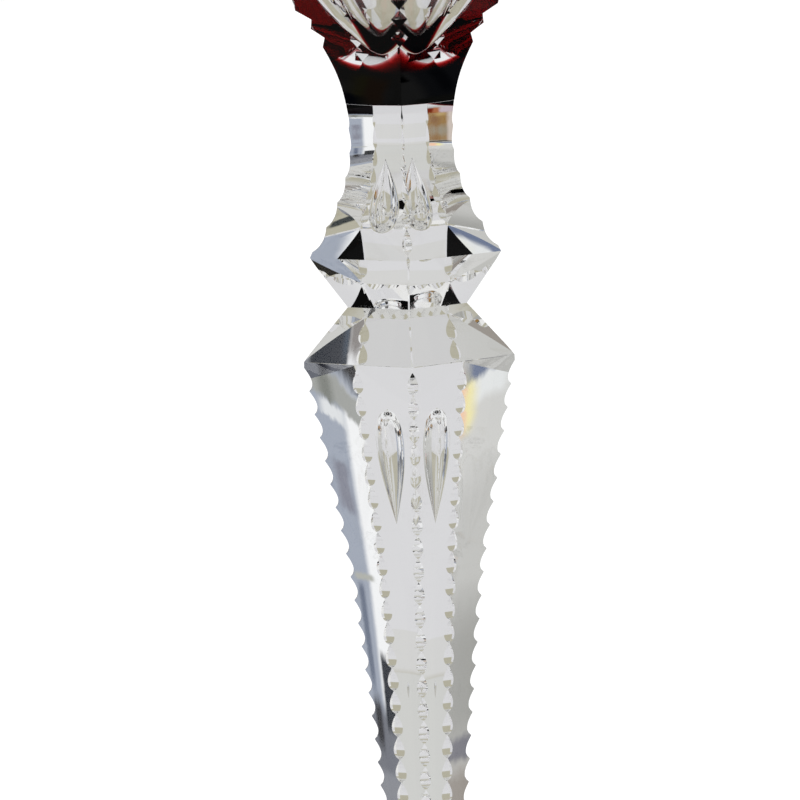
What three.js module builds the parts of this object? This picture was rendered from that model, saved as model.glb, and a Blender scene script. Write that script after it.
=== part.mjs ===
// Tall cut-crystal goblet: ruby cased bowl on a notched four-sided stem.
// Millimetres, +Z up, origin at the centre of the foot's underside.
import * as THREE from 'three';

// Lengths along the axis, from the table up
const FOOT_HEIGHT = 8;
const PLAIN_BELOW_NOTCHES = 8;
const SHANK_BODY_LENGTH = 72;
const SHOULDER_RISE = 6.5;
const KNOP_RIM_RISE = 6.2;
const NECK_LENGTH = 13.6;
const NECK_TO_BAND = 5;
const BAND_THICKNESS = 3.4;
const CLEAR_HEIGHT = 93.3;

// Foot
const FOOT_RADIUS = 36;
const FOOT_EDGE_THICKNESS = 3.4;
const FOOT_EDGE_ROUNDING = 0.8;
const COLLAR_WIDTH = 0.9;
const REST_RING_WIDTH = 9;
const STAR_POINTS = 24;
const STAR_DEPTH = 1.4;
const STAR_CENTRE_DEPTH = 0.6;

// Stem: distances from the axis to the four long edges
const SIDES = 4;
const SHANK_BASE_RADIUS = 10.6;
const SHANK_THIN_RADIUS = 5.05;
const SHANK_MIDDLE_RADIUS = 7.98;
const SHANK_UPPER_RADIUS = 10.67;
const SHOULDER_RADIUS = 13.05;
const WAIST_RADIUS = 7.37;
const KNOP_RIM_RADIUS = 11.85;
const NECK_RADIUS = 6.35;
const NECK_HOLLOW_POWER = 1.7;

// Where the shank has its thin, middle and upper radius, as shares of its body's length
const SHANK_THIN_SHARE = 0.18;
const SHANK_MIDDLE_SHARE = 0.607;
const SHANK_UPPER_SHARE = 0.82;

// Notches ground across the long edges, shallower up the neck by a share
const NOTCH_PITCH = 2.85;
const NOTCH_DEPTH = 0.65;
const NECK_NOTCH_SHARE = 0.35;
const NOTCH_STEPS = 4;
const EDGE_LAND = 0.06;
const CORNER_CUT = 0.2;

// Bowl: a half ellipsoid of ruby over a half ellipsoid of clear glass
const BOWL_RADIUS = 34;
const CASING_AT_RIM = 0.75;
const RUBY_GROUND_AWAY = 2.2;
const CLEAR_WALL_AT_RIM = 1.85;
const CLEAR_WALL_AT_BASE = 3.6;
const CUP_BODY_POWER = 1.6;
const CUP_TIP_POWER = 0.66;
const RIM_ROUNDING = 0.6;
const CASING_GAP = 0.3;
const CASING_EDGE_GAP = 0.45;

// The stem's four faces run on up into four tall windows cut through the ruby, with notched ridges between
const RIDGE_NOTCHES = 5;
const RIDGE_NOTCH_DEPTH = 1;

// A face's side view, from the thin of the neck up to a window's top, as shares of the height that is left
// up to the rim and of the distance that is left out to the clear crystal's rim
const FACE_OUTLINE = [
  [0, 0],
  [0.049, 0.0063],
  [0.092, 0.037],
  [0.143, 0.107],
  [0.177, 0.178],
  [0.272, 0.372],
  [0.43, 0.658],
  [0.585, 0.863],
  [0.783, 1.03],
];
const WINDOW_DEEPEST_SHARE = 0.1;
const WINDOW_TOP_SHARE = 0.765;

// Rings and columns of the curved surfaces, as counts and as shares of their length
const BOWL_COLUMNS = 48;
const STAR_SHARES = [0.12, 0.35, 0.6, 0.85];
const DOME_SHARES = [0, 0.25, 0.5, 0.75, 0.9, 1];
const BASE_SIDE_SHARES = [0, 0.2, 0.4, 0.6, 0.8, 1];
const BASE_INNER_SHARES = [0.8, 0.55, 0.3];
const BOWL_SEAT_SHARES = [0.35, 0.7];
const CUP_SHARES = [1, 0.75, 0.55, 0.4, 0.28, 0.18, 0.1, 0.05, 0.02];

// Levels from an arch or ridge up to the rim, shared by the crystal and its casing
const CASED_SHARES = [0, 0.06, 0.15, 0.28, 0.45, 0.65, 0.85, 1];

// Heights above the table
const NOTCHES_START = FOOT_HEIGHT + PLAIN_BELOW_NOTCHES;
const SHOULDER_HEIGHT = FOOT_HEIGHT + SHANK_BODY_LENGTH;
const WAIST_HEIGHT = SHOULDER_HEIGHT + SHOULDER_RISE;
const KNOP_RIM_HEIGHT = WAIST_HEIGHT + KNOP_RIM_RISE;
const NECK_WAIST_HEIGHT = KNOP_RIM_HEIGHT + NECK_LENGTH;
const BAND_UNDERSIDE = NECK_WAIST_HEIGHT + NECK_TO_BAND;
const CLEAR_UNDERSIDE = BAND_UNDERSIDE + BAND_THICKNESS;
const OVERALL_HEIGHT = CLEAR_UNDERSIDE + CLEAR_HEIGHT;
const RIM_EDGE_HEIGHT = OVERALL_HEIGHT - RIM_ROUNDING;
const CUP_BOTTOM = CLEAR_UNDERSIDE + CLEAR_WALL_AT_BASE;
const WINDOW_DEEPEST = CLEAR_UNDERSIDE + WINDOW_DEEPEST_SHARE * CLEAR_HEIGHT;
const WINDOW_TOP = CLEAR_UNDERSIDE + WINDOW_TOP_SHARE * CLEAR_HEIGHT;

const CLEAR_RADIUS = BOWL_RADIUS - CASING_AT_RIM;
const CUP_RADIUS = CLEAR_RADIUS - CLEAR_WALL_AT_RIM;
const FULL_TURN = 2 * Math.PI;
const SECTOR = FULL_TURN / SIDES;
const FACE_COSINE = Math.cos(SECTOR / 2);
const NECK_FACE = NECK_RADIUS * FACE_COSINE;

const clearCrystal = new THREE.MeshStandardMaterial({ color: 0xdfe6e8, roughness: 0.02, metalness: 0 });
const rubyGlass = new THREE.MeshStandardMaterial({ color: 0x6b0714, roughness: 0.02, metalness: 0 });

function pointAt(radius, angle, height) {
  return new THREE.Vector3(radius * Math.cos(angle), radius * Math.sin(angle), height);
}

// Smooth curve of radius against height through a few [height, radius] points
function smoothProfile(points) {
  const slopes = points.map((point, i) => {
    const before = points[Math.max(i - 1, 0)];
    const after = points[Math.min(i + 1, points.length - 1)];
    return (after[1] - before[1]) / (after[0] - before[0]);
  });
  return (height) => {
    let i = 0;
    while (i < points.length - 2 && height > points[i + 1][0]) i++;
    const [lowHeight, lowRadius] = points[i];
    const [highHeight, highRadius] = points[i + 1];
    const span = highHeight - lowHeight;
    const t = THREE.MathUtils.clamp((height - lowHeight) / span, 0, 1);
    const fromLow = (1 + 2 * t) * (1 - t) ** 2 * lowRadius + t * (1 - t) ** 2 * span * slopes[i];
    const fromHigh = t * t * (3 - 2 * t) * highRadius - t * t * (1 - t) * span * slopes[i + 1];
    return fromLow + fromHigh;
  };
}

// Height between two limits at which a difference stops being positive
function whereItEnds(difference, low, high) {
  let [from, to] = [low, high];
  const halvings = 40;
  for (let i = 0; i < halvings; i++) {
    const middle = (from + to) / 2;
    if (difference(middle) > 0) from = middle;
    else to = middle;
  }
  return (from + to) / 2;
}

// Closed body from rings of equal count, listed from its first pole, outwards, to its last pole
function bodyFromRings(firstPole, rings, lastPole) {
  const count = rings[0].length;
  const last = 1 + rings.length * count;
  const triangles = ringTriangles(rings.length - 1, count, 1, last);
  for (let i = 0; i < count; i++) {
    const next = (i + 1) % count;
    triangles.push(0, 1 + next, 1 + i);
    triangles.push(last, last - count + i, last - count + next);
  }
  return meshOf([firstPole, ...rings.flat(), lastPole], triangles);
}

// Ring-shaped body: the last ring joins back to the first
function closedLoopOfRings(rings) {
  const points = rings.flat();
  return meshOf(points, ringTriangles(rings.length, rings[0].length, 0, points.length));
}

// Triangles between each ring of points and the next, whose points are numbered from first to end
function ringTriangles(bands, count, first, end) {
  const triangles = [];
  for (let band = 0; band < bands; band++) {
    const lower = first + band * count;
    const upper = lower + count < end ? lower + count : first;
    for (let i = 0; i < count; i++) {
      const next = (i + 1) % count;
      triangles.push(lower + i, lower + next, upper + next);
      triangles.push(lower + i, upper + next, upper + i);
    }
  }
  return triangles;
}

function meshOf(points, triangles) {
  const positions = points.flatMap((point) => point.toArray());
  const geometry = new THREE.BufferGeometry();
  geometry.setAttribute('position', new THREE.Float32BufferAttribute(positions, 3));
  geometry.setIndex(triangles);
  geometry.computeVertexNormals();
  return geometry;
}

// One level of the four-sided stem, each long edge cut back square to its radius
function stemRing(edgeRadius, edgeCut, height) {
  const inset = Math.max(edgeCut, EDGE_LAND) / (2 * edgeRadius * Math.sin(SECTOR / 2) ** 2);
  const ring = [];
  for (let side = 0; side < SIDES; side++) {
    const faceStart = pointAt(edgeRadius, side * SECTOR, height);
    const faceEnd = pointAt(edgeRadius, (side + 1) * SECTOR, height);
    ring.push(new THREE.Vector3().lerpVectors(faceStart, faceEnd, inset));
    ring.push(new THREE.Vector3().lerpVectors(faceStart, faceEnd, 1 - inset));
  }
  return ring;
}

// Levels along a notched length: round notches that meet in sharp tips
function notchLevels(from, to) {
  const notches = Math.max(1, Math.round((to - from) / NOTCH_PITCH));
  const pitch = (to - from) / notches;
  const levels = [];
  for (let step = 0; step <= notches * NOTCH_STEPS; step++) {
    const phase = (step % NOTCH_STEPS) / NOTCH_STEPS;
    const height = from + (pitch * step) / NOTCH_STEPS;
    levels.push({ height, cut: NOTCH_DEPTH * (1 - (2 * phase - 1) ** 2) });
  }
  return levels;
}

const NOTCH_TIP = NOTCH_PITCH / 4;

const shankEdge = smoothProfile([
  [FOOT_HEIGHT, SHANK_BASE_RADIUS],
  [
    FOOT_HEIGHT + (SHANK_THIN_SHARE * SHANK_BODY_LENGTH) / 2,
    THREE.MathUtils.lerp(SHANK_THIN_RADIUS, SHANK_BASE_RADIUS, 1 / 6),
  ],
  [FOOT_HEIGHT + SHANK_THIN_SHARE * SHANK_BODY_LENGTH, SHANK_THIN_RADIUS],
  [FOOT_HEIGHT + SHANK_MIDDLE_SHARE * SHANK_BODY_LENGTH, SHANK_MIDDLE_RADIUS],
  [FOOT_HEIGHT + SHANK_UPPER_SHARE * SHANK_BODY_LENGTH, SHANK_UPPER_RADIUS],
  [SHOULDER_HEIGHT, SHOULDER_RADIUS],
]);

// Distance from the axis to a face, from the thin of the neck up
const faceDistance = smoothProfile(
  FACE_OUTLINE.map(([rise, distance]) => [
    THREE.MathUtils.lerp(NECK_WAIST_HEIGHT, OVERALL_HEIGHT, rise),
    THREE.MathUtils.lerp(NECK_FACE, CLEAR_RADIUS, distance),
  ]),
);

// Distance from the axis to the knop's long edges, above its rim
function knopEdge(height) {
  if (height > NECK_WAIST_HEIGHT) return faceDistance(height) / FACE_COSINE;
  const fall = (NECK_WAIST_HEIGHT - height) / NECK_LENGTH;
  return NECK_RADIUS + (KNOP_RIM_RADIUS - NECK_RADIUS) * fall ** NECK_HOLLOW_POWER;
}

// Radius at a height of a half ellipsoid that hangs from the rim
function ellipsoidRadius(rimRadius, bottom, height) {
  const drop = (OVERALL_HEIGHT - height) / (OVERALL_HEIGHT - bottom);
  return rimRadius * Math.sqrt(Math.max(0, 1 - drop * drop));
}

function ellipsoidHeight(rimRadius, bottom, radius) {
  return OVERALL_HEIGHT - (OVERALL_HEIGHT - bottom) * Math.sqrt(1 - (radius / rimRadius) ** 2);
}

// The ruby's bottom is ground away where the flat joint with the stem is
const rubyRadius = (height) => ellipsoidRadius(BOWL_RADIUS, BAND_UNDERSIDE - RUBY_GROUND_AWAY, height);
const clearRadius = (height) => ellipsoidRadius(CLEAR_RADIUS, CLEAR_UNDERSIDE, height);
const clearHeight = (radius) => ellipsoidHeight(CLEAR_RADIUS, CLEAR_UNDERSIDE, radius);

// The cup is drawn to a point at its bottom and rounds out to the rim
function cupRadius(height) {
  const rise = (height - CUP_BOTTOM) / (OVERALL_HEIGHT - CUP_BOTTOM);
  return CUP_RADIUS * (1 - (1 - rise) ** CUP_BODY_POWER) ** CUP_TIP_POWER;
}

// Outside of the cut bowl at an angle: the flat-sided cuts, or the ruby where they don't reach it
function cutRadius(angle, height) {
  const fromFace = THREE.MathUtils.euclideanModulo(angle, SECTOR) - SECTOR / 2;
  return Math.min(faceDistance(height) / Math.cos(fromFace), rubyRadius(height));
}

// Columns round the bowl, of which one in each sector falls on a ridge
const ANGLES = Array.from({ length: BOWL_COLUMNS }, (_, i) => (i * FULL_TURN) / BOWL_COLUMNS);
const COLUMNS_PER_SECTOR = BOWL_COLUMNS / SIDES;

function ringOf(pointFor) {
  return ANGLES.map((angle, column) => pointFor(angle, column));
}

// Height where the ruby base thins out to nothing against the clear crystal, at an angle
const rubyBaseEdge = (angle, gap) =>
  whereItEnds((height) => cutRadius(angle, height) - clearRadius(height + gap), CLEAR_UNDERSIDE, WINDOW_DEEPEST);

// Height where a window's arch or a ridge reaches the ruby casing, at an angle
const casingEdge = (angle, gap) =>
  whereItEnds((height) => clearRadius(height) + gap - cutRadius(angle, height), WINDOW_DEEPEST, WINDOW_TOP);

// Foot: low dome on a flat rest ring, with a star cut into the underside
function makeFoot() {
  const columns = 2 * STAR_POINTS;
  const restRadius = FOOT_RADIUS - FOOT_EDGE_ROUNDING;
  const starRadius = restRadius - REST_RING_WIDTH;
  const roundRing = (radius, height) => {
    const ring = [];
    for (let i = 0; i < columns; i++) ring.push(pointAt(radius, (i * FULL_TURN) / columns, height));
    return ring;
  };
  const starRing = (share) => {
    const grooveDepth = THREE.MathUtils.lerp(STAR_CENTRE_DEPTH, STAR_DEPTH, Math.sin(share * Math.PI));
    const ring = roundRing(starRadius * share, 0);
    ring.forEach((point, i) => {
      point.z = i % 2 === 0 ? grooveDepth : STAR_CENTRE_DEPTH * (1 - share);
    });
    return ring;
  };
  const domeRing = (share) => {
    const radius = THREE.MathUtils.lerp(restRadius, SHANK_BASE_RADIUS + COLLAR_WIDTH, share);
    return roundRing(radius, THREE.MathUtils.lerp(FOOT_EDGE_THICKNESS, FOOT_HEIGHT, share ** 2));
  };
  const edgeMiddle = FOOT_EDGE_THICKNESS / 2;
  const rings = [
    ...STAR_SHARES.map(starRing),
    roundRing(starRadius, 0),
    roundRing(restRadius, 0),
    roundRing(FOOT_RADIUS, edgeMiddle - FOOT_EDGE_ROUNDING),
    roundRing(FOOT_RADIUS, edgeMiddle + FOOT_EDGE_ROUNDING),
    ...DOME_SHARES.map(domeRing),
  ];
  return bodyFromRings(pointAt(0, 0, STAR_CENTRE_DEPTH), rings, pointAt(0, 0, FOOT_HEIGHT));
}

// Lower gather of the stem, from the foot up to the sharp shoulder and in to the waist
function makeShank() {
  const belowShoulder = [
    { height: FOOT_HEIGHT, cut: EDGE_LAND },
    { height: (FOOT_HEIGHT + NOTCHES_START) / 2, cut: EDGE_LAND },
    ...notchLevels(NOTCHES_START, SHOULDER_HEIGHT - NOTCH_TIP),
    { height: SHOULDER_HEIGHT, cut: CORNER_CUT },
  ];
  const rings = [
    ...belowShoulder.map(({ height, cut }) => stemRing(shankEdge(height), cut, height)),
    stemRing(WAIST_RADIUS, EDGE_LAND, WAIST_HEIGHT),
  ];
  return bodyFromRings(pointAt(0, 0, FOOT_HEIGHT), rings, pointAt(0, 0, WAIST_HEIGHT));
}

// Upper gather of the stem, from the waist out to the sharp rim and in to the thin neck
function makeKnop() {
  const neckShare = (height) => {
    const below = THREE.MathUtils.clamp((NECK_WAIST_HEIGHT - height) / NECK_LENGTH, 0, 1);
    return THREE.MathUtils.lerp(NECK_NOTCH_SHARE, 1, below);
  };
  const rings = [
    stemRing(WAIST_RADIUS, EDGE_LAND, WAIST_HEIGHT),
    stemRing(KNOP_RIM_RADIUS, CORNER_CUT, KNOP_RIM_HEIGHT),
    ...notchLevels(KNOP_RIM_HEIGHT + NOTCH_TIP, BAND_UNDERSIDE).map(({ height, cut }) =>
      stemRing(knopEdge(height), cut * neckShare(height), height)),
  ];
  return bodyFromRings(pointAt(0, 0, WAIST_HEIGHT), rings, pointAt(0, 0, BAND_UNDERSIDE));
}

// Thick ruby between the neck and the clear crystal
function makeRubyBase() {
  const innerHeight = (radius) => clearHeight(radius) - CASING_GAP;
  const topEdge = (angle) => rubyBaseEdge(angle, CASING_GAP);
  const sideRing = (share) => ringOf((angle) => {
    const height = THREE.MathUtils.lerp(BAND_UNDERSIDE, topEdge(angle), share);
    return pointAt(cutRadius(angle, height), angle, height);
  });
  const innerRing = (share) => ringOf((angle) => {
    const radius = share * cutRadius(angle, topEdge(angle));
    return pointAt(radius, angle, innerHeight(radius));
  });
  const rings = [...BASE_SIDE_SHARES.map(sideRing), ...BASE_INNER_SHARES.map(innerRing)];
  return bodyFromRings(pointAt(0, 0, BAND_UNDERSIDE), rings, pointAt(0, 0, innerHeight(0)));
}

// Clear inner crystal: cup inside, windows and notched ridges outside
function makeBowl() {
  const seatedRing = (share) => ringOf((angle) => {
    const radius = share * clearRadius(rubyBaseEdge(angle, 0));
    return pointAt(radius, angle, clearHeight(radius));
  });
  const windowSteps = NOTCH_STEPS * RIDGE_NOTCHES;
  const windowRing = (step) => ringOf((angle, column) => {
    const height = THREE.MathUtils.lerp(rubyBaseEdge(angle, 0), casingEdge(angle, 0), step / windowSteps);
    const phase = (step % NOTCH_STEPS) / NOTCH_STEPS;
    const isRidge = column % COLUMNS_PER_SECTOR === 0;
    const notch = isRidge ? RIDGE_NOTCH_DEPTH * (1 - Math.abs(2 * phase - 1)) : 0;
    return pointAt(Math.min(cutRadius(angle, height), clearRadius(height)) - notch, angle, height);
  });
  const casedRing = (share) => ringOf((angle) => {
    const height = THREE.MathUtils.lerp(casingEdge(angle, 0), RIM_EDGE_HEIGHT, share);
    return pointAt(clearRadius(height), angle, height);
  });
  const rimRing = ringOf((angle) => pointAt((CLEAR_RADIUS + CUP_RADIUS) / 2, angle, OVERALL_HEIGHT));
  const cupRing = (share) => ringOf((angle) => {
    const height = THREE.MathUtils.lerp(CUP_BOTTOM, RIM_EDGE_HEIGHT, share);
    return pointAt(cupRadius(height), angle, height);
  });
  const rings = [
    ...BOWL_SEAT_SHARES.map(seatedRing),
    ...Array.from({ length: windowSteps + 1 }, (_, step) => windowRing(step)),
    ...CASED_SHARES.slice(1).map(casedRing),
    rimRing,
    ...CUP_SHARES.map(cupRing),
  ];
  return bodyFromRings(pointAt(0, 0, CLEAR_UNDERSIDE), rings, pointAt(0, 0, CUP_BOTTOM));
}

// Thin ruby layer above the arched window tops
function makeRubyCasing() {
  const heightAt = (angle, share) =>
    THREE.MathUtils.lerp(casingEdge(angle, CASING_EDGE_GAP), RIM_EDGE_HEIGHT, share);
  const outerRing = (share) => ringOf((angle) =>
    pointAt(cutRadius(angle, heightAt(angle, share)), angle, heightAt(angle, share)));
  const innerRing = (share) => ringOf((angle) =>
    pointAt(clearRadius(heightAt(angle, share)) + CASING_GAP, angle, heightAt(angle, share)));
  const outer = CASED_SHARES.map(outerRing);
  const inner = CASED_SHARES.slice(1).reverse().map(innerRing);
  return closedLoopOfRings([...outer, ...inner]);
}

function piece(name, geometry, material) {
  const mesh = new THREE.Mesh(geometry, material);
  mesh.name = name;
  return mesh;
}

const goblet = new THREE.Group();
goblet.add(
  piece('foot', makeFoot(), clearCrystal),
  piece('shank', makeShank(), clearCrystal),
  piece('knop', makeKnop(), clearCrystal),
  piece('ruby_base', makeRubyBase(), rubyGlass),
  piece('bowl', makeBowl(), clearCrystal),
  piece('ruby_casing', makeRubyCasing(), rubyGlass),
);

export default goblet;
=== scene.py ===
# Cut-crystal goblet with a ruby cased bowl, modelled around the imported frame.
import math

import bmesh
import bpy
from mathutils import Matrix, Vector


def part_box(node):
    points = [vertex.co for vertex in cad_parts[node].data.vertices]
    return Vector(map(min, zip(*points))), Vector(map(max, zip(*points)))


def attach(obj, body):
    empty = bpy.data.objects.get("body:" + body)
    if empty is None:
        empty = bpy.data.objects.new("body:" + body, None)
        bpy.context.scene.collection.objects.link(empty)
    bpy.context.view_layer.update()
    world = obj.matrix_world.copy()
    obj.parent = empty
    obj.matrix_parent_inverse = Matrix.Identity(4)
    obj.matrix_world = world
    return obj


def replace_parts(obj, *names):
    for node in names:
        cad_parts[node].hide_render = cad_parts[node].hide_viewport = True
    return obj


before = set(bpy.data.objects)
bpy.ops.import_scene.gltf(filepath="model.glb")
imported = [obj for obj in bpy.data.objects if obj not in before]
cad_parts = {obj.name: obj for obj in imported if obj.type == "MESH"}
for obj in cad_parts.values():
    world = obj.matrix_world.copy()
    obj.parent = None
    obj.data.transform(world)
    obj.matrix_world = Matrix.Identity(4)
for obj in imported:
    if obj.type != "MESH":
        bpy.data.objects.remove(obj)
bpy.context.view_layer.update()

MM = 0.001

# Points nearer to each other than this are one point, on the pieces and on the air drops
HAIR = 1e-7
DROP_HAIR = 1e-6
FULL_TURN = 2 * math.pi

# Heights, read from the frame
FOOT_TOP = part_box("foot")[1].z
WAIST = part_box("shank")[1].z
BAND_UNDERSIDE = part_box("ruby_base")[0].z
CLEAR_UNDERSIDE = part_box("bowl")[0].z
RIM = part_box("bowl")[1].z

# Heights that the frame doesn't give by themselves
SHOULDER_RISE = 6.5 * MM
KNOP_RIM_RISE = 6.2 * MM
NECK_TO_BAND = 5 * MM
PLAIN_BELOW_NOTCHES = 8 * MM
SHOULDER = WAIST - SHOULDER_RISE
KNOP_RIM = WAIST + KNOP_RIM_RISE
NECK_WAIST = BAND_UNDERSIDE - NECK_TO_BAND
NOTCHES_START = FOOT_TOP + PLAIN_BELOW_NOTCHES

# Fused pieces keep this much of a gap, so that no two faces lie on each other
FUSED_GAP = 0.01 * MM

# Stem: distances from the axis to its long edges
SIDES = 4
SECTOR = FULL_TURN / SIDES
FACE_COSINE = math.cos(SECTOR / 2)
SHOULDER_RADIUS = 13.05 * MM
WAIST_RADIUS = 7.37 * MM
KNOP_RIM_RADIUS = 11.85 * MM
COLLAR_RADIUS = 11.5 * MM
NECK_RADIUS = 6.35 * MM
NECK_FACE = NECK_RADIUS * FACE_COSINE
NECK_HOLLOW_POWER = 1.7
FACE_SWELL = 0.016
FACE_COLUMNS = 11
STEM_COUNT = SIDES * FACE_COLUMNS

# The shank's side view: shares of its height from the foot to the shoulder, and its long edges' distances
SHANK_OUTLINE = [
    (0, 10.6 * MM),
    (0.09, 5.975 * MM),
    (0.18, 5.05 * MM),
    (0.607, 7.98 * MM),
    (0.82, 10.67 * MM),
    (1, SHOULDER_RADIUS),
]

# Air drops: height of the round end, height of the tip and width. The speck is a seed bubble low in the
# shank, and the knop's drop sits a little off the axis
SHANK_DROP = (74.7 * MM, 60.3 * MM, 4.2 * MM)
SHANK_SPECK = (40.6 * MM, 38.4 * MM, 0.3 * MM)
KNOP_DROP = (94.2 * MM, 104.3 * MM, 4.4 * MM)
KNOP_DROP_SHIFT = -0.6 * MM
DROP_TAPER = 1.15
DROP_POINTS = 36
DROP_COLUMNS = 48

# Notches ground across the long edges
NOTCH_PITCH = 2.85 * MM
NOTCH_DEPTH = 0.65 * MM
NOTCH_STEPS = 10
NECK_NOTCH_SHARE = 0.35
EDGE_LAND = 0.03 * MM
SLOPE_EDGE_LAND = 0.1 * MM
CORNER_CUT = 0.2 * MM

# Under 1, a notch is deepest below its middle
NOTCH_LEAN = 0.75

# Bowl: a half ellipsoid of ruby over a half ellipsoid of clear crystal, both hanging from the rim
RUBY_RADIUS = 34 * MM
RUBY_GROUND_AWAY = 2.2 * MM
CASING_AT_RIM = 0.75 * MM
CLEAR_WALL_AT_RIM = 1.85 * MM
CLEAR_WALL_AT_BASE = 3.6 * MM
RIM_ROUNDING = 0.6 * MM
RUBY_BOTTOM = BAND_UNDERSIDE - RUBY_GROUND_AWAY
CLEAR_RADIUS = RUBY_RADIUS - CASING_AT_RIM
CUP_RADIUS = CLEAR_RADIUS - CLEAR_WALL_AT_RIM
CUP_BOTTOM = CLEAR_UNDERSIDE + CLEAR_WALL_AT_BASE
CUP_BODY_POWER = 1.6
CUP_TIP_POWER = 0.66
CUP_LEVEL_POWER = 1.6
RIM_EDGE = RIM - RIM_ROUNDING
RIDGE_NOTCHES = 5
RIDGE_NOTCH_DEPTH = 1 * MM
COLUMNS_PER_WINDOW = 40

# A face's side view, from the thin of the neck up to a window's top, as shares of the height that is left
# up to the rim and of the distance that is left out to the clear crystal's rim
FACE_OUTLINE = [
    (0, 0),
    (0.049, 0.0063),
    (0.092, 0.037),
    (0.143, 0.107),
    (0.177, 0.178),
    (0.272, 0.372),
    (0.43, 0.658),
    (0.585, 0.863),
    (0.783, 1.03),
]
WINDOW_DEEPEST_SHARE = 0.1
WINDOW_TOP_SHARE = 0.765
WINDOW_DEEPEST = CLEAR_UNDERSIDE + WINDOW_DEEPEST_SHARE * (RIM - CLEAR_UNDERSIDE)
WINDOW_TOP = CLEAR_UNDERSIDE + WINDOW_TOP_SHARE * (RIM - CLEAR_UNDERSIDE)

# Foot
FOOT_RADIUS = 36 * MM
FOOT_EDGE = 3.4 * MM
FOOT_ROUNDING = 0.8 * MM
REST_RING_WIDTH = 9 * MM
STAR_POINTS = 24
STAR_DEPTH = 1.4 * MM
STAR_CENTRE_DEPTH = 0.6 * MM
FOOT_COLUMNS = 96
FOOT_DOME_POWER = 2

# Levels along each stretch of a piece
SLOPE_STEPS = 6
BEVEL_STEPS = 6
ROUNDING_STEPS = 6
PLAIN_STEPS = 12
JOINT_STEPS = 12
RIM_STEPS = 12
STAR_STEPS = 14
SIDE_STEPS = 24
CUP_STEPS = 70

# Halvings of a span, in the search for a height in it
HALVINGS = 40

# Faces that meet at less than this look like one curved surface, in degrees
SMOOTH_BELOW = 25
DROP_SMOOTH_BELOW = 60


def clamp(value, low, high):
    return max(low, min(high, value))


def mix(a, b, share):
    return a + (b - a) * share


def steps(count):
    """Shares from 0 to 1, with count steps between"""
    return [i / count for i in range(count + 1)]


def point_at(radius, angle, height):
    return Vector((radius * math.cos(angle), radius * math.sin(angle), height))


def smooth_profile(points):
    """Smooth curve of radius against height through a few (height, radius) points"""
    last = len(points) - 1
    slopes = []
    for i in range(last + 1):
        before = points[max(i - 1, 0)]
        after = points[min(i + 1, last)]
        slopes.append((after[1] - before[1]) / (after[0] - before[0]))

    def radius_at(height):
        i = 0
        while i < last - 1 and height > points[i + 1][0]:
            i += 1
        low_height, low_radius = points[i]
        high_height, high_radius = points[i + 1]
        span = high_height - low_height
        t = clamp((height - low_height) / span, 0, 1)
        from_low = (1 + 2 * t) * (1 - t) ** 2 * low_radius + t * (1 - t) ** 2 * span * slopes[i]
        from_high = t * t * (3 - 2 * t) * high_radius - t * t * (1 - t) * span * slopes[i + 1]
        return from_low + from_high

    return radius_at


def where_it_ends(difference, low, high):
    """Height between two limits at which a difference stops being positive"""
    for _ in range(HALVINGS):
        middle = (low + high) / 2
        if difference(middle) > 0:
            low = middle
        else:
            high = middle
    return (low + high) / 2


def skin(rings):
    """Draws rings of points one from another into a closed skin. Each ring says whether its band is fused"""
    bm = bmesh.new()
    column = bm.verts.layers.int.new("column")
    fused_layer = bm.faces.layers.float.new("fused")
    bmesh.ops.create_circle(bm, segments=len(rings[0][0]), radius=MM)
    for number, vert in enumerate(bm.verts):
        vert[column] = number
        vert.co = rings[0][0][number]
    edges = list(bm.edges)
    for places, is_fused in rings[1:]:
        grown = bmesh.ops.extrude_edge_only(bm, edges=edges)["geom"]
        new = {item for item in grown if isinstance(item, bmesh.types.BMVert)}
        for vert in new:
            vert.co = places[vert[column]]
        edges = [
            item
            for item in grown
            if isinstance(item, bmesh.types.BMEdge) and new.issuperset(item.verts)
        ]
        for item in grown:
            if isinstance(item, bmesh.types.BMFace):
                item[fused_layer] = 1.0 if is_fused else 0.0
                item.material_index = 1 if is_fused else 0
    bmesh.ops.remove_doubles(bm, verts=bm.verts, dist=HAIR)
    bmesh.ops.dissolve_degenerate(bm, edges=bm.edges, dist=HAIR)
    bmesh.ops.recalc_face_normals(bm, faces=bm.faces)
    soften(bm, SMOOTH_BELOW)
    return bm


def soften(bm, smooth_below):
    """Smooth faces, with sharp edges where two meet at more than an angle in degrees"""
    for face in bm.faces:
        face.smooth = True
    for edge in bm.edges:
        edge.smooth = edge.calc_face_angle(0) < math.radians(smooth_below)


def finished(name, bm, materials):
    """Makes a piece of that name with its materials, hung on the root body"""
    mesh = bpy.data.meshes.new(name)
    bm.to_mesh(mesh)
    bm.free()
    piece = bpy.data.objects.new(name, mesh)
    bpy.context.scene.collection.objects.link(piece)
    for material in materials:
        mesh.materials.append(material)
    for face in mesh.polygons:
        face.material_index = min(face.material_index, len(materials) - 1)
    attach(piece, "root")
    return piece


def stem_ring(edge_radius, height, cut=0.0):
    """One level of the four-sided stem, each long edge cut back square to its radius"""
    inset = max(cut, EDGE_LAND) / (2 * edge_radius * math.sin(SECTOR / 2) ** 2)
    ring = []
    for side in range(SIDES):
        for share in steps(FACE_COLUMNS - 1):
            across = 2 * mix(inset, 1 - inset, share) - 1
            from_middle = math.atan(across * math.tan(SECTOR / 2))
            radius = edge_radius * FACE_COSINE * face_bulge(from_middle) / math.cos(from_middle)
            ring.append(point_at(radius, (side + 0.5) * SECTOR + from_middle, height))
    return ring


def face_bulge(from_middle):
    """Ground faces swell a little between their edges: a share of the face's distance, by the angle"""
    return 1 + FACE_SWELL * (1 - (math.tan(from_middle) / math.tan(SECTOR / 2)) ** 2)


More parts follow.
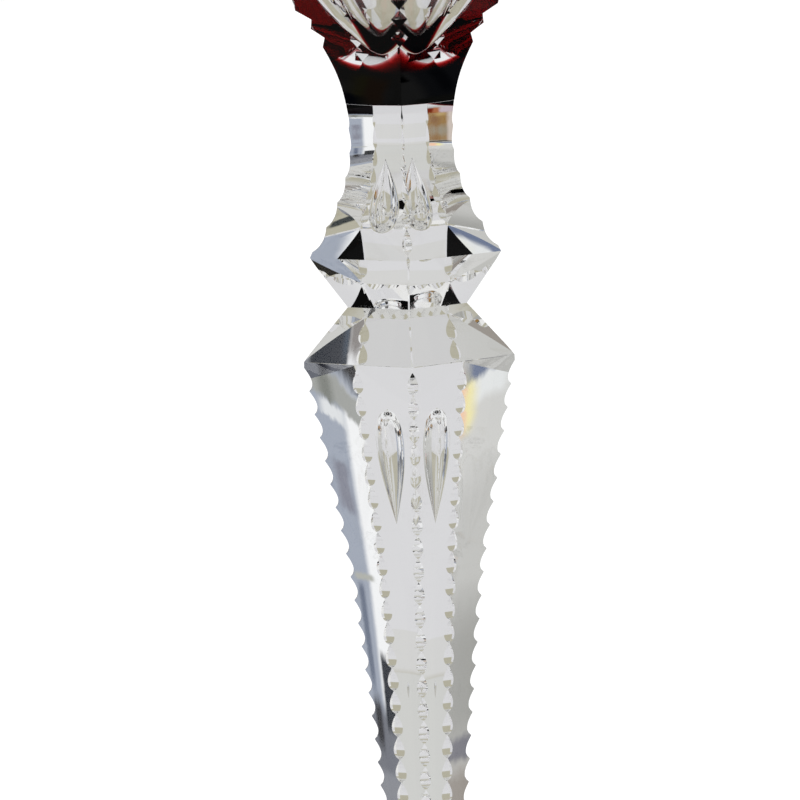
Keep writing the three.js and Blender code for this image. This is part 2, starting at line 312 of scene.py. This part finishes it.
def notch_levels(start, end):
    """Heights along a notched length and the depth there of its round notches, which meet in sharp tips"""
    notches = max(1, round((end - start) / NOTCH_PITCH))
    pitch = (end - start) / notches
    levels = []
    for step in range(notches * NOTCH_STEPS + 1):
        phase = (step % NOTCH_STEPS) / NOTCH_STEPS
        across = 2 * phase ** NOTCH_LEAN - 1
        levels.append((start + pitch * step / NOTCH_STEPS, NOTCH_DEPTH * (1 - across * across)))
    return levels


shank_edge = smooth_profile([
    (mix(FOOT_TOP, SHOULDER, rise), distance)
    for rise, distance in SHANK_OUTLINE
])

face_distance = smooth_profile([
    (mix(NECK_WAIST, RIM, rise), mix(NECK_FACE, CLEAR_RADIUS, distance))
    for rise, distance in FACE_OUTLINE
])


def knop_edge(height):
    if height > NECK_WAIST:
        return face_distance(height) / FACE_COSINE
    fall = (NECK_WAIST - height) / (NECK_WAIST - KNOP_RIM)
    return mix(NECK_RADIUS, KNOP_RIM_RADIUS, fall ** NECK_HOLLOW_POWER)


def ellipsoid_radius(rim_radius, bottom, height):
    drop = (RIM - height) / (RIM - bottom)
    return rim_radius * math.sqrt(max(0.0, 1 - drop * drop))


def ellipsoid_height(rim_radius, bottom, radius):
    return RIM - (RIM - bottom) * math.sqrt(max(0.0, 1 - (radius / rim_radius) ** 2))


def ruby_radius(height):
    return ellipsoid_radius(RUBY_RADIUS, RUBY_BOTTOM, height)


def clear_radius(height):
    return ellipsoid_radius(CLEAR_RADIUS, CLEAR_UNDERSIDE, height)


def clear_height(radius):
    return ellipsoid_height(CLEAR_RADIUS, CLEAR_UNDERSIDE, radius)


def cup_radius(height):
    rise = clamp((height - CUP_BOTTOM) / (RIM - CUP_BOTTOM), 0, 1)
    return CUP_RADIUS * (1 - (1 - rise) ** CUP_BODY_POWER) ** CUP_TIP_POWER


def face_radius(angle, height):
    from_middle = angle % SECTOR - SECTOR / 2
    return face_distance(height) * face_bulge(from_middle) / math.cos(from_middle)


def cut_radius(angle, height):
    """Outside of the cut bowl at an angle: the flat-sided cuts, or the ruby where they don't reach it"""
    return min(face_radius(angle, height), ruby_radius(height))


def base_edge(angle):
    """Height where the ruby base thins out to nothing against the clear crystal"""
    return where_it_ends(
        lambda height: cut_radius(angle, height) - clear_radius(height), CLEAR_UNDERSIDE, WINDOW_DEEPEST
    )


def casing_edge(angle):
    """Height where a window's arch or a ridge reaches the ruby casing"""
    return where_it_ends(
        lambda height: clear_radius(height) - cut_radius(angle, height), WINDOW_DEEPEST, WINDOW_TOP
    )


def bevel_edge(angle):
    """Height where the cut comes out through the ruby's outside"""
    return where_it_ends(
        lambda height: ruby_radius(height) - face_radius(angle, height), WINDOW_DEEPEST, WINDOW_TOP
    )


def air_drop(round_end, tip, width, shift=0.0):
    """A long air drop in the stem: round at one end, drawn out to a point at the other"""
    def swell(share):
        return math.sqrt(share) * (1 - share) ** DROP_TAPER

    bm = bmesh.new()
    widest = 0.5 / (0.5 + DROP_TAPER)
    profile = []
    for share in steps(DROP_POINTS):
        radius = width / 2 * swell(share) / swell(widest)
        profile.append(Vector((radius, 0, mix(round_end, tip, share))))
    verts = [bm.verts.new(point) for point in profile]
    edges = [bm.edges.new(pair) for pair in zip(verts, verts[1:])]
    bmesh.ops.spin(
        bm, geom=verts + edges, cent=(0, 0, 0), axis=(0, 0, 1), angle=FULL_TURN,
        steps=DROP_COLUMNS, use_merge=True, use_duplicate=False,
    )
    bmesh.ops.remove_doubles(bm, verts=bm.verts, dist=DROP_HAIR)
    bmesh.ops.recalc_face_normals(bm, faces=bm.faces)
    bmesh.ops.reverse_faces(bm, faces=bm.faces)
    soften(bm, DROP_SMOOTH_BELOW)
    bmesh.ops.translate(bm, verts=bm.verts, vec=(shift, 0, 0))
    return bm


def add_inside(bm, cavity):
    """Puts a hollow into a skin"""
    mesh = bpy.data.meshes.new("hollow")
    cavity.to_mesh(mesh)
    cavity.free()
    bm.from_mesh(mesh)
    bpy.data.meshes.remove(mesh)


# Materials
def linear(code):
    """A colour written as sRGB hex, turned to the linear values that Blender works in"""
    channels = [int(code[i:i + 2], 16) / 255 for i in (1, 3, 5)]
    return [c / 12.92 if c <= 0.04045 else ((c + 0.055) / 1.055) ** 2.4 for c in channels] + [1.0]


def new_material(name):
    material = bpy.data.materials.new(name)
    material.use_nodes = True
    material.node_tree.nodes.clear()
    return material


def add(tree, kind, settings=None, **links):
    """Adds a node with its settings, and links named inputs to other nodes' outputs"""
    node = tree.nodes.new(kind)
    for key, value in (settings or {}).items():
        if key in node.inputs:
            node.inputs[key].default_value = value
        else:
            setattr(node, key, value)
    for key, source in links.items():
        tree.links.new(source, node.inputs[key.replace("_", " ")])
    return node


# Lead crystal, cut and acid polished: no colour of its own, and it bends light more than window glass does
POLISHED_CRYSTAL = {
    "Base Color": linear("#FFFFFF"),
    "Roughness": 0.0,
    "IOR": 1.58,
    "Transmission Weight": 1.0,
}


def lead_crystal():
    """Water-clear: each ground face shows another slice of the room, with crisp dark and light edges"""
    material = new_material("polished lead crystal")
    tree = material.node_tree
    glass = add(tree, "ShaderNodeBsdfPrincipled", POLISHED_CRYSTAL)
    add(tree, "ShaderNodeOutputMaterial", Surface=glass.outputs[0])
    return material


def ruby_glass(name, colour, density):
    """The same glass struck red with copper: bright red where it is thin, and near black where it is thick"""
    material = new_material(name)
    tree = material.node_tree
    glass = add(tree, "ShaderNodeBsdfPrincipled", POLISHED_CRYSTAL)
    on_joint = add(tree, "ShaderNodeAttribute", {"attribute_name": "fused"})
    clear = add(tree, "ShaderNodeBsdfTransparent")
    skin_or_joint = add(tree, "ShaderNodeMixShader")
    tree.links.new(on_joint.outputs["Fac"], skin_or_joint.inputs[0])
    tree.links.new(glass.outputs[0], skin_or_joint.inputs[1])
    tree.links.new(clear.outputs[0], skin_or_joint.inputs[2])
    absorption = add(tree, "ShaderNodeVolumeAbsorption", {"Color": linear(colour), "Density": density})
    add(tree, "ShaderNodeOutputMaterial", Surface=skin_or_joint.outputs[0], Volume=absorption.outputs[0])
    return material


def fused_joint():
    """Where two gathers of crystal are fused hot there is nothing to see"""
    material = new_material("fused joint in the glass")
    tree = material.node_tree
    clear = add(tree, "ShaderNodeBsdfTransparent")
    add(tree, "ShaderNodeOutputMaterial", Surface=clear.outputs[0])
    return material


crystal = lead_crystal()
joint = fused_joint()
thick_ruby = ruby_glass("copper ruby glass of the band", "#E11927", 8000.0)
thin_ruby = ruby_glass("copper ruby glass of the casing", "#E5455E", 1300.0)


def fused(places):
    return places, True


def skinned(places):
    return places, False


def pole_ring(height, count):
    return [Vector((0, 0, height))] * count


def make_shank():
    bottom = FOOT_TOP + FUSED_GAP
    rings = [fused(pole_ring(bottom, STEM_COUNT)), fused(stem_ring(shank_edge(FOOT_TOP), bottom))]
    for share in steps(PLAIN_STEPS)[1:-1]:
        height = mix(FOOT_TOP, NOTCHES_START, share)
        rings.append(skinned(stem_ring(shank_edge(height), height)))
    for height, cut in notch_levels(NOTCHES_START, SHOULDER - NOTCH_PITCH / 4):
        rings.append(skinned(stem_ring(shank_edge(height), height, cut)))
    rings.append(skinned(stem_ring(SHOULDER_RADIUS, SHOULDER, CORNER_CUT)))
    for share in steps(SLOPE_STEPS)[1:]:
        rings.append(skinned(stem_ring(
            mix(SHOULDER_RADIUS, WAIST_RADIUS, share), mix(SHOULDER, WAIST, share), SLOPE_EDGE_LAND)))
    rings.append(fused(pole_ring(WAIST, STEM_COUNT)))
    bm = skin(rings)
    add_inside(bm, air_drop(*SHANK_DROP))
    add_inside(bm, air_drop(*SHANK_SPECK))
    return finished("stem_shank", bm, [crystal, joint])


def neck_notch_share(height):
    """Notches get shallower up the neck and run out just under the ruby band"""
    below = clamp((NECK_WAIST - height) / (NECK_WAIST - KNOP_RIM), 0, 1)
    to_band = clamp((BAND_UNDERSIDE - height) / NOTCH_PITCH, 0, 1)
    return mix(NECK_NOTCH_SHARE, 1, below) * to_band


def make_knop():
    bottom = WAIST + FUSED_GAP
    top = BAND_UNDERSIDE - FUSED_GAP
    rings = [fused(pole_ring(bottom, STEM_COUNT)), fused(stem_ring(WAIST_RADIUS, bottom, SLOPE_EDGE_LAND))]
    for share in steps(SLOPE_STEPS)[1:-1]:
        rings.append(skinned(stem_ring(
            mix(WAIST_RADIUS, KNOP_RIM_RADIUS, share), mix(bottom, KNOP_RIM, share), SLOPE_EDGE_LAND)))
    rings.append(skinned(stem_ring(KNOP_RIM_RADIUS, KNOP_RIM, CORNER_CUT)))
    for height, cut in notch_levels(KNOP_RIM + NOTCH_PITCH / 4, top):
        rings.append(skinned(stem_ring(knop_edge(height), height, cut * neck_notch_share(height))))
    rings.append(fused(pole_ring(top, STEM_COUNT)))
    bm = skin(rings)
    add_inside(bm, air_drop(*KNOP_DROP, KNOP_DROP_SHIFT))
    return finished("stem_knop", bm, [crystal, joint])


# Columns round the bowl: in each window's sector, their shares of the way from one ridge to the next
ACROSS = steps(COLUMNS_PER_WINDOW - 1)
HAIR_ANGLE = 1e-5
BASE_EDGES = [base_edge(share * SECTOR) for share in ACROSS]
CASING_EDGES = [casing_edge(share * SECTOR) for share in ACROSS]
BEVEL_EDGES = [bevel_edge(share * SECTOR) for share in ACROSS]


def bowl_ring(place, offset=HAIR_ANGLE):
    """One level round the bowl. Place gives a radius and a height for an angle and a column in the sector"""
    ring = []
    for window in range(SIDES):
        for column, share in enumerate(ACROSS):
            angle = mix(offset, SECTOR - offset, share)
            radius, height = place(angle, column)
            ring.append(point_at(radius, window * SECTOR + angle, height))
    return ring


BOWL_COUNT = SIDES * COLUMNS_PER_WINDOW


def make_ruby_base():
    bottom = BAND_UNDERSIDE + FUSED_GAP

    def side(share):
        def place(angle, column):
            height = mix(bottom, BASE_EDGES[column], share)
            return cut_radius(angle, height), height
        return place

    def inner(share):
        def place(angle, column):
            radius = share * clear_radius(BASE_EDGES[column])
            return radius, clear_height(radius) - FUSED_GAP
        return place

    rings = [fused(pole_ring(bottom, BOWL_COUNT)), fused(bowl_ring(side(0)))]
    rings += [skinned(bowl_ring(side(share))) for share in steps(SIDE_STEPS)[1:]]
    rings += [fused(bowl_ring(inner(share))) for share in reversed(steps(JOINT_STEPS)[1:-1])]
    rings.append(fused(pole_ring(CLEAR_UNDERSIDE - FUSED_GAP, BOWL_COUNT)))
    return finished("ruby_band", skin(rings), [thick_ruby])


def make_bowl():
    def seated(share):
        def place(angle, column):
            radius = share * clear_radius(BASE_EDGES[column])
            return radius, clear_height(radius)
        return place

    def window(share):
        def place(angle, column):
            height = mix(BASE_EDGES[column], CASING_EDGES[column], share)
            return min(cut_radius(angle, height), clear_radius(height)), height
        return place

    def cased(share):
        def place(angle, column):
            height = mix(CASING_EDGES[column], RIM_EDGE, share)
            return clear_radius(height), height
        return place

    def rim(share):
        across = math.pi * share
        middle = (CLEAR_RADIUS + CUP_RADIUS) / 2
        half = (CLEAR_RADIUS - CUP_RADIUS) / 2
        radius = middle + half * math.cos(across)
        height = RIM_EDGE + (RIM - RIM_EDGE) * math.sin(across)
        return lambda angle, column: (radius, height)

    def cup(share):
        height = mix(CUP_BOTTOM, RIM_EDGE, share ** CUP_LEVEL_POWER)
        return lambda angle, column: (cup_radius(height), height)

    rings = [fused(pole_ring(CLEAR_UNDERSIDE, BOWL_COUNT))]
    rings += [fused(bowl_ring(seated(share))) for share in steps(JOINT_STEPS)[1:]]
    window_steps = RIDGE_NOTCHES * NOTCH_STEPS
    for step in range(1, window_steps + 1):
        share = step / window_steps
        phase = (step % NOTCH_STEPS) / NOTCH_STEPS
        depth = RIDGE_NOTCH_DEPTH * (1 - abs(2 * phase - 1))
        ridge = face_distance(mix(BASE_EDGES[0], CASING_EDGES[0], share)) / FACE_COSINE
        rings.append(skinned(bowl_ring(window(share), max(HAIR_ANGLE, math.atan2(depth, ridge - depth)))))
    rings += [fused(bowl_ring(cased(share))) for share in steps(SIDE_STEPS)[1:]]
    rings += [skinned(bowl_ring(rim(share))) for share in steps(RIM_STEPS)[1:]]
    rings += [skinned(bowl_ring(cup(share))) for share in reversed(steps(CUP_STEPS)[:-1])]
    return finished("clear_bowl", skin(rings), [crystal, joint])


def make_casing():
    def bevel(share):
        def place(angle, column):
            height = mix(CASING_EDGES[column], BEVEL_EDGES[column], share)
            return cut_radius(angle, height), height
        return place

    def outer(share):
        def place(angle, column):
            height = mix(BEVEL_EDGES[column], RIM_EDGE, share)
            return ruby_radius(height), height
        return place

    def inner(share):
        def place(angle, column):
            height = mix(CASING_EDGES[column], RIM_EDGE, share)
            return clear_radius(height) + FUSED_GAP, height
        return place

    rings = [skinned(bowl_ring(bevel(share))) for share in steps(BEVEL_STEPS)]
    rings += [skinned(bowl_ring(outer(share))) for share in steps(SIDE_STEPS)[1:]]
    rings.append(skinned(bowl_ring(inner(1))))
    rings += [fused(bowl_ring(inner(share))) for share in reversed(steps(SIDE_STEPS)[:-1])]
    rings.append(fused(rings[0][0]))
    return finished("ruby_cup_casing", skin(rings), [thin_ruby])


def make_foot():
    def round_ring(radius, height):
        return [point_at(radius, i * FULL_TURN / FOOT_COLUMNS, height) for i in range(FOOT_COLUMNS)]

    rest_radius = FOOT_RADIUS - FOOT_ROUNDING
    star_radius = rest_radius - REST_RING_WIDTH
    rings = [fused(pole_ring(STAR_CENTRE_DEPTH, FOOT_COLUMNS))]
    for share in steps(STAR_STEPS)[1:]:
        groove = mix(STAR_CENTRE_DEPTH, STAR_DEPTH, math.sin(share * math.pi))
        ring = round_ring(star_radius * share, 0)
        for i, point in enumerate(ring):
            phase = i * STAR_POINTS / FOOT_COLUMNS % 1
            peak = abs(2 * phase - 1)
            point.z = mix(STAR_CENTRE_DEPTH * (1 - share), groove, peak) if share < 1 else 0
        rings.append(skinned(ring))
    rings.append(skinned(round_ring(rest_radius, 0)))
    for share in steps(ROUNDING_STEPS)[1:]:
        across = share * math.pi / 2
        radius = rest_radius + FOOT_ROUNDING * math.sin(across)
        rings.append(skinned(round_ring(radius, FOOT_ROUNDING * (1 - math.cos(across)))))
    for share in steps(ROUNDING_STEPS):
        across = share * math.pi / 2
        radius = rest_radius + FOOT_ROUNDING * math.cos(across)
        rings.append(skinned(round_ring(radius, FOOT_EDGE - FOOT_ROUNDING * (1 - math.sin(across)))))
    for share in steps(SIDE_STEPS)[1:]:
        radius = mix(rest_radius, COLLAR_RADIUS, share)
        rings.append(skinned(round_ring(radius, mix(FOOT_EDGE, FOOT_TOP, share ** FOOT_DOME_POWER))))
    top = shank_edge(FOOT_TOP)
    imprint = []
    for i in range(FOOT_COLUMNS):
        angle = i * FULL_TURN / FOOT_COLUMNS
        from_middle = angle % SECTOR - SECTOR / 2
        radius = top * FACE_COSINE * face_bulge(from_middle) / math.cos(from_middle)
        imprint.append(point_at(radius, angle, FOOT_TOP))
    rings.append(skinned(imprint))
    rings.append(fused(pole_ring(FOOT_TOP, FOOT_COLUMNS)))
    return finished("round_foot", skin(rings), [crystal, joint])


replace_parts(make_shank(), "shank")
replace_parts(make_knop(), "knop")
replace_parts(make_ruby_base(), "ruby_base")
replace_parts(make_bowl(), "bowl")
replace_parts(make_casing(), "ruby_casing")
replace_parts(make_foot(), "foot")


# Light: the patches stand in for the surroundings that show in the photographed glass. Their places come from
# test renders that tell which spot of the backdrop each part of the glass shows, and their strengths from the
# photograph's tones in those parts. So they suit the photograph's view only, and aren't plain studio light.
# Each is a soft-edged rectangle with its middle, half sizes, softness and strengths of red, green and blue
# light. A waver is a noise's scale and how far the noise moves an edge
SKY_WAVER = (6.0, 0.05)
PANEL_WAVER = (0.35, 2.0)
FLOOR_WAVER = (0.05, 12.0)


def patched(tree, across, up, base, patches):
    """Colour of a surface or sky with patches laid over each other, by two coordinates"""
    colour = add(tree, "ShaderNodeRGB")
    colour.outputs[0].default_value = (*base, 1)
    seen = colour.outputs[0]
    for middle, half, softness, shade in patches:
        weight = None
        for coordinate, place, reach, soft in zip((across, up), middle, half, softness):
            away = add(tree, "ShaderNodeMath", {"operation": "SUBTRACT"})
            tree.links.new(coordinate, away.inputs[0])
            away.inputs[1].default_value = place
            size = add(tree, "ShaderNodeMath", {"operation": "ABSOLUTE"})
            tree.links.new(away.outputs[0], size.inputs[0])
            edge = add(tree, "ShaderNodeMapRange", {
                "interpolation_type": "SMOOTHSTEP",
                "From Min": reach - soft, "From Max": reach + soft, "To Min": 1.0, "To Max": 0.0,
            }, Value=size.outputs[0])
            if weight is None:
                weight = edge.outputs[0]
            else:
                both = add(tree, "ShaderNodeMath", {"operation": "MULTIPLY"})
                tree.links.new(weight, both.inputs[0])
                tree.links.new(edge.outputs[0], both.inputs[1])
                weight = both.outputs[0]
        layer = add(tree, "ShaderNodeMixRGB", {"Color2": (*shade, 1)}, Fac=weight, Color1=seen)
        seen = layer.outputs[0]
    return seen


def millimetres(tree):
    """Places on a board or on the floor, in mm"""
    place = add(tree, "ShaderNodeTexCoord")
    scaled = add(tree, "ShaderNodeVectorMath", {
        "operation": "SCALE", "Scale": 1 / MM,
    }, Vector=place.outputs["Object"])
    return scaled.outputs[0]


def wavered(tree, source, scale, amount):
    """A vector output with a little procedural waver, so that edges in the light aren't ruled lines"""
    noise = add(tree, "ShaderNodeTexNoise", {"Scale": scale, "Detail": 3.0}, Vector=source)
    shift = add(tree, "ShaderNodeVectorMath", {"operation": "MULTIPLY_ADD"})
    tree.links.new(noise.outputs["Color"], shift.inputs[0])
    shift.inputs[1].default_value = (amount, amount, amount)
    shift.inputs[2].default_value = (-amount / 2, -amount / 2, -amount / 2)
    moved = add(tree, "ShaderNodeVectorMath", {"operation": "ADD"})
    tree.links.new(source, moved.inputs[0])
    tree.links.new(shift.outputs[0], moved.inputs[1])
    return moved.outputs[0]


# Sky: azimuth from +Y towards +X and elevation, in degrees
SKY = (0.72, 0.72, 0.735)
SKY_PATCHES = [
    ((0, 75), (400, 40), (0.1, 8), (0.88, 0.89, 0.9)),
    ((-160, 30), (30, 38), (12, 12), (0.86, 0.86, 0.85)),
    ((137, -24), (12, 8), (6, 4), (0.015, 0.014, 0.01)),
    ((88, 35), (25, 8), (8, 6), (0.95, 0.95, 0.93)),
]


# The room on the camera's side is dim, so the outer surfaces reflect this share of what the glass shows
REFLECTED = 0.12


def dimmed_when_reflected(tree):
    """Strength of 1, but less for rays that come straight off a surface instead of through the glass"""
    ray = add(tree, "ShaderNodeLightPath")
    outside = add(tree, "ShaderNodeMath", {"operation": "SUBTRACT", "use_clamp": True})
    tree.links.new(ray.outputs["Is Glossy Ray"], outside.inputs[0])
    tree.links.new(ray.outputs["Is Transmission Ray"], outside.inputs[1])
    strength = add(tree, "ShaderNodeMath", {"operation": "MULTIPLY_ADD"})
    tree.links.new(outside.outputs[0], strength.inputs[0])
    strength.inputs[1].default_value = REFLECTED - 1
    strength.inputs[2].default_value = 1
    return strength.outputs[0]


def studio():
    """A sky that is white to the camera and to matt surfaces, and has its patches where the glass shows it"""
    world = bpy.data.worlds.new("patched sky")
    bpy.context.scene.world = world
    world.use_nodes = True
    tree = world.node_tree
    tree.nodes.clear()
    place = add(tree, "ShaderNodeTexCoord")
    direction = wavered(tree, place.outputs["Generated"], *SKY_WAVER)
    axes = add(tree, "ShaderNodeSeparateXYZ", Vector=direction)
    turned = add(tree, "ShaderNodeMath", {"operation": "ARCTAN2"})
    tree.links.new(axes.outputs["X"], turned.inputs[0])
    tree.links.new(axes.outputs["Y"], turned.inputs[1])
    raised = add(tree, "ShaderNodeMath", {"operation": "ARCSINE"})
    tree.links.new(axes.outputs["Z"], raised.inputs[0])
    degrees = []
    for angle in (turned, raised):
        node = add(tree, "ShaderNodeMath", {"operation": "DEGREES"})
        tree.links.new(angle.outputs[0], node.inputs[0])
        degrees.append(node.outputs[0])
    sky = patched(tree, degrees[0], degrees[1], SKY, SKY_PATCHES)
    ray = add(tree, "ShaderNodeLightPath")
    for kind in ("Is Diffuse Ray", "Is Camera Ray"):
        plain = add(tree, "ShaderNodeMixRGB", {"Color2": (1, 1, 1, 1)}, Fac=ray.outputs[kind], Color1=sky)
        sky = plain.outputs[0]
    background = add(tree, "ShaderNodeBackground", Color=sky, Strength=dimmed_when_reflected(tree))
    add(tree, "ShaderNodeOutputWorld", Surface=background.outputs[0])


# Panels that stand beside the glass, unseen by the camera and by matt surfaces. They show through the glass,
# and dimmed in its outer surfaces. Patches are by depth (+Y) and height, in mm
RIGHT_PANEL = [
    ((-46, 84), (50, 38), (4, 4), (0.96, 0.97, 0.98)),
    ((14, 117), (10, 1.3), (4, 0.6), (0.78, 0.8, 0.82)),
    ((15, 106), (7, 1.6), (4, 1), (0.24, 0.25, 0.31)),
    ((10, 79), (12, 2), (4, 1.5), (0.45, 0.46, 0.42)),
    ((0, 121), (110, 2.2), (2, 0.8), (0.36, 0.37, 0.35)),
    ((17, 120.5), (5, 2), (4, 0.8), (0.2, 0.21, 0.19)),
    ((0, 142), (110, 17), (2, 2), (0.004, 0.003, 0.004)),
    ((0, 37), (110, 9), (2, 3), (0.16, 0.17, 0.2)),
    ((14, 42), (5, 5.5), (3, 3), (0.012, 0.013, 0.02)),
    ((0, 20), (110, 10), (2, 2), (0.25, 0.26, 0.29)),
    ((16, 62), (3.5, 12), (2.5, 4), (0.14, 0.17, 0.24)),
    ((-14, 50), (15, 8.5), (2, 1.5), (0.003, 0.008, 0.018)),
    ((-26, 54), (3, 5), (3, 2), (0.03, 0.05, 0.08)),
    ((-35, 56), (6, 6), (3, 2), (0.24, 0.22, 0.21)),
    ((87, 17), (8, 4), (4, 2), (0.02, 0.02, 0.015)),
]
# The yellow and the orange patch at 95 mm stand in for the coloured fringe that real crystal gives
LEFT_PANEL = [
    ((0, 91), (68, 7), (1, 3), (0.66, 0.66, 0.64)),
    ((3, 96), (10, 2), (2, 1), (0.82, 0.84, 0.84)),
    ((0.5, 95), (2.5, 4), (2.5, 2), (0.93, 0.85, 0.42)),
    ((-3, 95), (2.5, 4), (1.5, 2), (0.95, 0.6, 0.4)),
    ((0, 45), (68, 12), (1, 7), (0.36, 0.36, 0.34)),
    ((0, 33.5), (68, 2), (1, 1), (0.18, 0.18, 0.21)),
    ((0, 20), (68, 10), (1, 3), (0.32, 0.29, 0.26)),
    ((0, 108), (68, 5), (1, 2), (0.3, 0.27, 0.2)),
    ((0, 104), (68, 1.5), (1, 0.4), (0.015, 0.008, 0.006)),
    ((0, 112), (68, 5), (1, 1.2), (0.3, 0.16, 0.03)),
    ((-1, 110), (3, 2.5), (2, 2), (0.22, 0.09, 0.01)),
    ((3, 114), (3, 2), (2, 1.5), (0.45, 0.3, 0.1)),
    ((10, 111), (3, 7), (1.5, 2), (0.62, 0.54, 0.48)),
    ((-5, 119), (4, 3.5), (1.5, 1.5), (0.2, 0.02, 0.003)),
    ((0, 119), (2.5, 3.5), (1.5, 1.5), (0.45, 0.16, 0.07)),
    ((6, 119), (4, 3.5), (1.5, 1.5), (0.6, 0.5, 0.55)),
    ((6, 99), (6, 1.6), (3, 0.7), (0.13, 0.17, 0.28)),
]


def panel(name, distance, reach, base, patches):
    """A square board across the X axis, from just over the floor up to twice its reach"""
    bm = bmesh.new()
    bmesh.ops.create_grid(bm, x_segments=1, y_segments=1, size=reach)
    bmesh.ops.rotate(bm, verts=bm.verts, cent=(0, 0, 0), matrix=Matrix.Rotation(math.radians(90), 3, "Y"))
    bmesh.ops.translate(bm, verts=bm.verts, vec=(distance, 0, reach + MM))
    mesh = bpy.data.meshes.new(name)
    bm.to_mesh(mesh)
    bm.free()
    board = bpy.data.objects.new(name, mesh)
    bpy.context.scene.collection.objects.link(board)
    board.visible_camera = False
    board.visible_diffuse = False
    board.visible_shadow = False
    material = new_material(name)
    tree = material.node_tree
    axes = add(tree, "ShaderNodeSeparateXYZ", Vector=wavered(tree, millimetres(tree), *PANEL_WAVER))
    colour = patched(tree, axes.outputs["Y"], axes.outputs["Z"], base, patches)
    light = add(tree, "ShaderNodeEmission", Color=colour, Strength=dimmed_when_reflected(tree))
    add(tree, "ShaderNodeOutputMaterial", Surface=light.outputs[0])
    mesh.materials.append(material)


# The floor: how white it is, and the glow that lifts it to the backdrop's white in the camera's eye
FLOOR_RADIUS = 4
FLOOR_WHITE = 0.8
FLOOR_GLOW = 0.35

# What the floor glows with where it is seen inside the glass, painted light in place of how it is lit: cream,
# but neutral far back and behind the stem, with a painted dark patch on the right. By X and depth (+Y), in mm
FLOOR_PAINTED_GLOW_IN_GLASS = (0.46, 0.44, 0.345)
FLOOR_PATCHES = [
    ((0, 2900), (4000, 1300), (10, 200), (0.68, 0.68, 0.67)),
    ((10, 920), (75, 680), (12, 20), (0.64, 0.645, 0.625)),
    ((12, 205), (52, 60), (10, 10), (0.63, 0.63, 0.63)),
    ((0, -100), (500, 165), (20, 15), (0.64, 0.64, 0.62)),
    ((172, 100), (9, 12), (3, 3), (0.012, 0.02, 0.02)),
]


def make_floor():
    """A white floor that takes the shadow, and glows with painted patches of light where it is seen through
    the glass
    """
    bm = bmesh.new()
    bmesh.ops.create_circle(bm, cap_ends=True, segments=64, radius=FLOOR_RADIUS)
    mesh = bpy.data.meshes.new("floor")
    bm.to_mesh(mesh)
    bm.free()
    floor = bpy.data.objects.new("floor", mesh)
    bpy.context.scene.collection.objects.link(floor)
    material = new_material("white studio floor")
    tree = material.node_tree
    ray = add(tree, "ShaderNodeLightPath")
    axes = add(tree, "ShaderNodeSeparateXYZ", Vector=wavered(tree, millimetres(tree), *FLOOR_WAVER))
    inside = patched(tree, axes.outputs["X"], axes.outputs["Y"], FLOOR_PAINTED_GLOW_IN_GLASS, FLOOR_PATCHES)
    shade = add(tree, "ShaderNodeVectorMath", {"operation": "SCALE"})
    shade.inputs[0].default_value = [FLOOR_WHITE] * 3
    tree.links.new(dimmed_when_reflected(tree), shade.inputs["Scale"])
    matt = add(tree, "ShaderNodeBsdfDiffuse", Color=shade.outputs[0])
    glow = add(tree, "ShaderNodeEmission", {
        "Color": [FLOOR_GLOW] * 3 + [1],
    }, Strength=ray.outputs["Is Camera Ray"])
    lit = add(tree, "ShaderNodeAddShader")
    tree.links.new(matt.outputs[0], lit.inputs[0])
    tree.links.new(glow.outputs[0], lit.inputs[1])
    # Painted light: seen through the glass, the floor glows with its patches instead of being lit
    painted_glow_in_glass = add(tree, "ShaderNodeEmission", Color=inside)
    whole = add(tree, "ShaderNodeMixShader")
    tree.links.new(ray.outputs["Is Transmission Ray"], whole.inputs[0])
    tree.links.new(lit.outputs[0], whole.inputs[1])
    tree.links.new(painted_glow_in_glass.outputs[0], whole.inputs[2])
    add(tree, "ShaderNodeOutputMaterial", Surface=whole.outputs[0])
    mesh.materials.append(material)


studio()
make_floor()
panel("panel on the right", distance=150 * MM, reach=80 * MM, base=(0.36, 0.4, 0.48), patches=RIGHT_PANEL)
panel("panel on the left", distance=-60 * MM, reach=62 * MM, base=(0.56, 0.56, 0.54), patches=LEFT_PANEL)

# Camera: the photograph's view, a long lens a little above the shoulder of the stem
PHOTO_SIZE = 800
PIXEL = 0.1222 * MM
FRAME_MIDDLE_HEIGHT = 74.9 * MM
AXIS_X_AT_MIDDLE = 410.8
CAMERA_DISTANCE = 800 * MM
CAMERA_AZIMUTH = math.radians(-1.3)
CAMERA_ELEVATION = math.radians(5.4)
CAMERA_ROLL = math.radians(-2.08)


def make_camera():
    data = bpy.data.cameras.new("camera")
    camera = bpy.data.objects.new("camera", data)
    bpy.context.scene.collection.objects.link(camera)
    back = Vector((
        math.sin(CAMERA_AZIMUTH) * math.cos(CAMERA_ELEVATION),
        -math.cos(CAMERA_AZIMUTH) * math.cos(CAMERA_ELEVATION),
        math.sin(CAMERA_ELEVATION),
    ))
    right = Vector((math.cos(CAMERA_AZIMUTH), math.sin(CAMERA_AZIMUTH), 0))
    aim = Vector((0, 0, FRAME_MIDDLE_HEIGHT)) + right * (PHOTO_SIZE / 2 - AXIS_X_AT_MIDDLE) * PIXEL
    camera.location = aim + back * CAMERA_DISTANCE
    camera.rotation_mode = "QUATERNION"
    roll = Matrix.Rotation(CAMERA_ROLL, 3, "Z").to_quaternion()
    camera.rotation_quaternion = (-back).to_track_quat("-Z", "Y") @ roll
    data.sensor_width = 36
    data.lens = data.sensor_width * CAMERA_DISTANCE / (PHOTO_SIZE * PIXEL)
    data.clip_start = 0.01
    data.clip_end = 100
    bpy.context.scene.camera = camera


make_camera()

scene = bpy.context.scene
scene.view_settings.view_transform = "Standard"
scene.cycles.max_bounces = 32
scene.cycles.transmission_bounces = 32
scene.cycles.glossy_bounces = 16
scene.cycles.transparent_max_bounces = 32
scene.cycles.volume_bounces = 0
